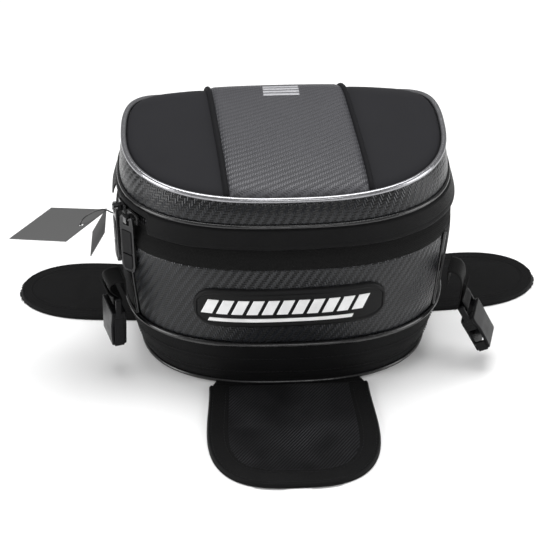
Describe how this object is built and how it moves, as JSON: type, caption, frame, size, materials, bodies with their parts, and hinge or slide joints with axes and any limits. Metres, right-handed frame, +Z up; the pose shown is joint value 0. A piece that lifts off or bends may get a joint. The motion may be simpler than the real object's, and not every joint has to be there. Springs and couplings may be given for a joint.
{
  "type": "motorcycle tank bag",
  "caption": "Soft oval tank bag with a domed zipped lid, carbon-look panels, piped edges, magnetic base flaps and side strap buckles.",
  "frame": {"origin": "middle of the underside of the anti-slip base pad", "axes": "+Z up, -Y the badge side (front), +X to the right seen from the front"},
  "size_m": [0.5042, 0.3452, 0.2222],
  "materials": {
    "nylon": "black woven nylon",
    "ballistic": "coarse ballistic nylon",
    "carbon_vinyl": "carbon-look embossed vinyl",
    "band_vinyl": "grey carbon-look embossed vinyl",
    "neoprene": "dark grey soft-faced neoprene",
    "gloss_piping": "glossy black piping",
    "silver_piping": "silver-grey piping",
    "black_plastic": "moulded black plastic",
    "black_metal": "gloss black plated metal",
    "soft_rubber": "matte black rubber",
    "white_rubber": "white rubber print",
    "foam": "closed-cell foam",
    "board": "stiffener board",
    "lining": "grey lining cloth",
    "magnet": "flat magnet",
    "card": "dark printed card",
    "reflective": "reflective film"
  },
  "bodies": {
    "bag": {"base_pad": "soft_rubber", "base_tray": "nylon", "bottom_piping": "gloss_piping", "base_board": "board", "lower_piping": "gloss_piping", "front_panel": "carbon_vinyl", "rear_panel": "nylon", "seam_piping_left": "gloss_piping", "seam_piping_right": "gloss_piping", "wall_foam": "foam", "bag_lining": "lining", "zip_tape_lower": "nylon", "zip_teeth_lower": "black_plastic", "hinge_strip": "nylon", "badge_plate": "soft_rubber", "badge_emblem": "white_rubber"},
    "lid": {"zip_tape_upper": "nylon", "zip_teeth_upper": "black_plastic", "storm_flap": "nylon", "storm_flap_side": "nylon", "lid_piping": "gloss_piping", "lid_wall": "carbon_vinyl", "rim_piping": "silver_piping", "lid_panel_left": "neoprene", "lid_panel_right": "neoprene", "lid_band": "band_vinyl", "band_piping_left": "neoprene", "band_piping_right": "neoprene", "lid_foam": "foam", "lid_lining": "lining", "lid_pocket_mesh": "nylon", "lid_pocket_binding": "nylon", "reflective_patch": "reflective"},
    "slider_front_body": {"slider_front": "black_metal"},
    "slider_rear_body": {"slider_rear": "black_metal"},
    "pull_front": {"pull_frame_front": "black_metal", "pull_grip_front": "soft_rubber"},
    "pull_rear": {"pull_frame_rear": "black_metal", "pull_grip_rear": "soft_rubber", "swing_tag": "card", "tag_slip": "card", "tag_fastener": "gloss_piping"},
    "strap_left_body": {"strap_left": "nylon"},
    "strap_right_body": {"strap_right": "nylon"},
    "buckle_left_body": {"buckle_left": "black_plastic"},
    "buckle_right_body": {"buckle_right": "black_plastic"},
    "flap_front": {"flap_front_cover": "nylon", "flap_front_inlay": "ballistic", "flap_front_backing": "soft_rubber", "flap_front_magnet_1": "magnet", "flap_front_magnet_2": "magnet"},
    "flap_left": {"flap_left_cover": "nylon", "flap_left_backing": "soft_rubber", "flap_left_magnet_1": "magnet", "flap_left_magnet_2": "magnet"},
    "flap_right": {"flap_right_cover": "nylon", "flap_right_backing": "soft_rubber", "flap_right_magnet_1": "magnet", "flap_right_magnet_2": "magnet"}
  },
  "joints": [
    {"name": "lid_hinge", "type": "hinge", "parent": "bag", "child": "lid", "pos_m": [0, 0.1068, 0.1595], "axis": [-1, 0, 0], "range_deg": [0, 105]},
    {"name": "zip_front_travel", "type": "hinge", "parent": "bag", "child": "slider_front_body", "pos_m": [-0.06233, -0.01916, 0.1608], "axis": [0, 0, 1], "range_deg": [0, 6]},
    {"name": "zip_rear_travel", "type": "hinge", "parent": "bag", "child": "slider_rear_body", "pos_m": [-0.0472, -0.01385, 0.1608], "axis": [0, 0, 1], "range_deg": [-6, 0]},
    {"name": "pull_front_swing", "type": "hinge", "parent": "slider_front_body", "child": "pull_front", "pos_m": [-0.13736, -0.06995, 0.1614], "axis": [-0.7666, 0.6421, 0], "range_deg": [0, 110]},
    {"name": "pull_rear_swing", "type": "hinge", "parent": "slider_rear_body", "child": "pull_rear", "pos_m": [-0.14753, -0.0499, 0.1614], "axis": [-0.2072, 0.9783, 0], "range_deg": [0, 110]},
    {"name": "strap_left_swing", "type": "hinge", "parent": "bag", "child": "strap_left_body", "pos_m": [-0.14524, -0.06105, 0.099], "axis": [-0.2924, 0.9563, 0], "range_deg": [-2, 55]},
    {"name": "strap_right_swing", "type": "hinge", "parent": "bag", "child": "strap_right_body", "pos_m": [0.14524, -0.06105, 0.099], "axis": [-0.2924, -0.9563, 0], "range_deg": [-10, 45]},
    {"name": "buckle_left_swing", "type": "hinge", "parent": "strap_left_body", "child": "buckle_left_body", "pos_m": [-0.15328, -0.06351, 0.08], "axis": [-0.2924, 0.9563, 0], "range_deg": [-8, 60]},
    {"name": "buckle_right_swing", "type": "hinge", "parent": "strap_right_body", "child": "buckle_right_body", "pos_m": [0.16045, -0.0657, 0.062], "axis": [-0.2924, -0.9563, 0], "range_deg": [-28, 45]},
    {"name": "flap_front_fold", "type": "hinge", "parent": "bag", "child": "flap_front", "pos_m": [0, -0.1032, 0.0046], "axis": [-1, 0, 0], "range_deg": [-35, 72]},
    {"name": "flap_left_fold", "type": "hinge", "parent": "bag", "child": "flap_left", "pos_m": [-0.1302, 0.05, 0.0046], "axis": [0.1045, 0.9945, 0], "range_deg": [-35, 65]},
    {"name": "flap_right_fold", "type": "hinge", "parent": "bag", "child": "flap_right", "pos_m": [0.1302, 0.05, 0.0046], "axis": [0.1045, -0.9945, 0], "range_deg": [-35, 65]}
  ]
}
